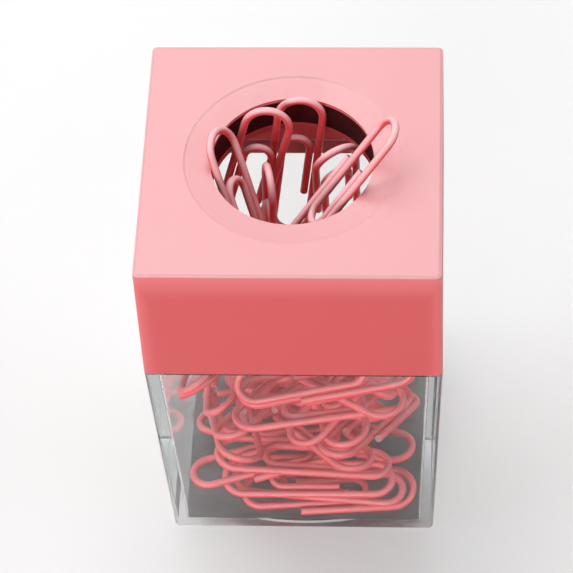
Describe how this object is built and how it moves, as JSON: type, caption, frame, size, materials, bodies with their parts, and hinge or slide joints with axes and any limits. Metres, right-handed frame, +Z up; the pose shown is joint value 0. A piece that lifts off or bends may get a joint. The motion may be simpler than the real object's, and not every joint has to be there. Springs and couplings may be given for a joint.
{
  "type": "magnetic paper clip holder",
  "caption": "Square desk holder for paper clips: a clear tapering tray under a deep moulded cap whose dished round opening has a ring magnet that stands clips up to be picked.",
  "frame": {"origin": "on the table under the middle of the tray", "axes": "+Z up, front at -Y, the opening looks up; the clip that leans out over the lip is at +X"},
  "size_m": [0.0444, 0.0444, 0.0755],
  "materials": {
    "clear_plastic": "clear, polished",
    "pink_plastic": "satin",
    "magnet": "dull ground ferrite",
    "coated_wire": "smooth vinyl coat on steel wire"
  },
  "bodies": {
    "tray_body": {"tray": "clear_plastic", "loose_clip_01": "coated_wire", "loose_clip_02": "coated_wire", "loose_clip_03": "coated_wire", "loose_clip_04": "coated_wire", "loose_clip_05": "coated_wire", "loose_clip_06": "coated_wire", "loose_clip_07": "coated_wire", "loose_clip_08": "coated_wire", "loose_clip_09": "coated_wire", "loose_clip_10": "coated_wire", "loose_clip_11": "coated_wire", "loose_clip_12": "coated_wire", "loose_clip_13": "coated_wire", "loose_clip_14": "coated_wire", "loose_clip_15": "coated_wire", "loose_clip_16": "coated_wire", "loose_clip_17": "coated_wire", "loose_clip_18": "coated_wire", "loose_clip_19": "coated_wire", "loose_clip_20": "coated_wire", "loose_clip_21": "coated_wire", "loose_clip_22": "coated_wire", "loose_clip_23": "coated_wire", "loose_clip_24": "coated_wire", "loose_clip_25": "coated_wire", "loose_clip_26": "coated_wire", "loose_clip_27": "coated_wire", "loose_clip_28": "coated_wire", "loose_clip_29": "coated_wire", "loose_clip_30": "coated_wire", "loose_clip_31": "coated_wire", "loose_clip_32": "coated_wire"},
    "cap_body": {"lid": "pink_plastic", "magnet_ring": "magnet", "magnet_retainer": "pink_plastic"},
    "clip_left_body": {"held_clip_left": "coated_wire"},
    "clip_back_left_body": {"held_clip_back_left": "coated_wire"},
    "clip_back_body": {"held_clip_back": "coated_wire"},
    "clip_back_right_body": {"held_clip_back_right": "coated_wire"},
    "clip_right_body": {"held_clip_right": "coated_wire"},
    "clip_middle_body": {"held_clip_middle": "coated_wire"}
  },
  "joints": [
    {"name": "cap_lift", "type": "slide", "parent": "tray_body", "child": "cap_body", "axis": [0, 0, 1], "range_m": [0, 0.04]},
    {"name": "clip_left_pull", "type": "slide", "parent": "cap_body", "child": "clip_left_body", "axis": [-0.3031, 0.5831, 0.7537], "range_m": [0, 0.03]},
    {"name": "clip_back_left_pull", "type": "slide", "parent": "cap_body", "child": "clip_back_left_body", "axis": [0.2588, 0.101, 0.9606], "range_m": [0, 0.03]},
    {"name": "clip_back_pull", "type": "slide", "parent": "cap_body", "child": "clip_back_body", "axis": [0.1305, 0.1036, 0.986], "range_m": [0, 0.03]},
    {"name": "clip_back_right_pull", "type": "slide", "parent": "cap_body", "child": "clip_back_right_body", "axis": [0.0145, -0.2689, 0.9631], "range_m": [0, 0.03]},
    {"name": "clip_right_pull", "type": "slide", "parent": "cap_body", "child": "clip_right_body", "axis": [0.6089, 0.4147, 0.6762], "range_m": [0, 0.03]},
    {"name": "clip_middle_pull", "type": "slide", "parent": "cap_body", "child": "clip_middle_body", "axis": [0.0341, 0.0073, 0.9994], "range_m": [0, 0.03]}
  ]
}
